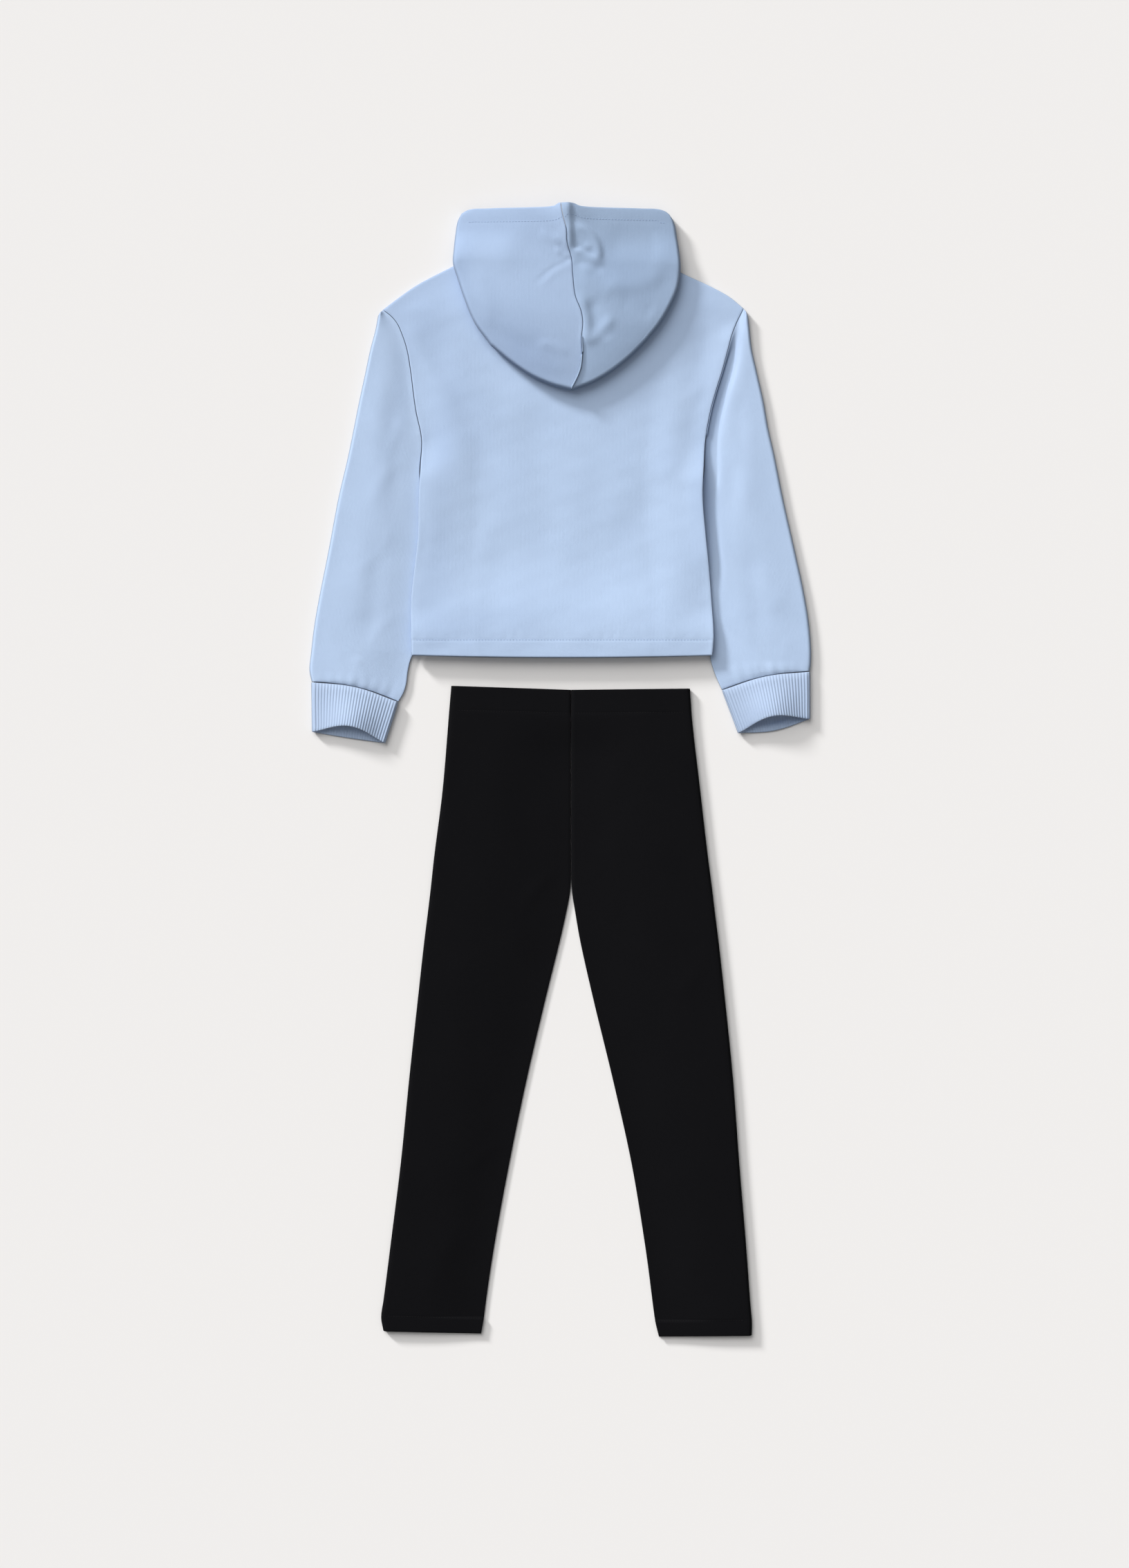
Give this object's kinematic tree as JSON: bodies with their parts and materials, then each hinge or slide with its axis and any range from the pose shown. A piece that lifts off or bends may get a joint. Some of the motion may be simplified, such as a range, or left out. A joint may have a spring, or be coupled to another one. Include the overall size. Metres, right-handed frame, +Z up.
{
  "type": "child's hoodie and leggings set laid flat",
  "caption": "Child's light blue fleece hoodie, back up with its hood down, and black jersey leggings, laid out flat as a set.",
  "frame": {"origin": "middle of the set's bounding box, on the surface it lies on", "axes": "+X to the right as seen from above, +Y from the ankles towards the hood, +Z up from the surface"},
  "size_m": [0.5653, 1.2761, 0.0276],
  "materials": {
    "fleece": "matt brushed fleece, light blue",
    "rib": "matt knitted rib, light blue",
    "jersey": "matt stretch jersey, black"
  },
  "bodies": {
    "root": {"front_panel": "fleece", "back_panel": "fleece", "left_sleeve": "fleece", "right_sleeve": "fleece", "left_cuff": "rib", "right_cuff": "rib", "left_hood": "fleece", "right_hood": "fleece", "left_leg": "jersey", "right_leg": "jersey"}
  },
  "joints": []
}
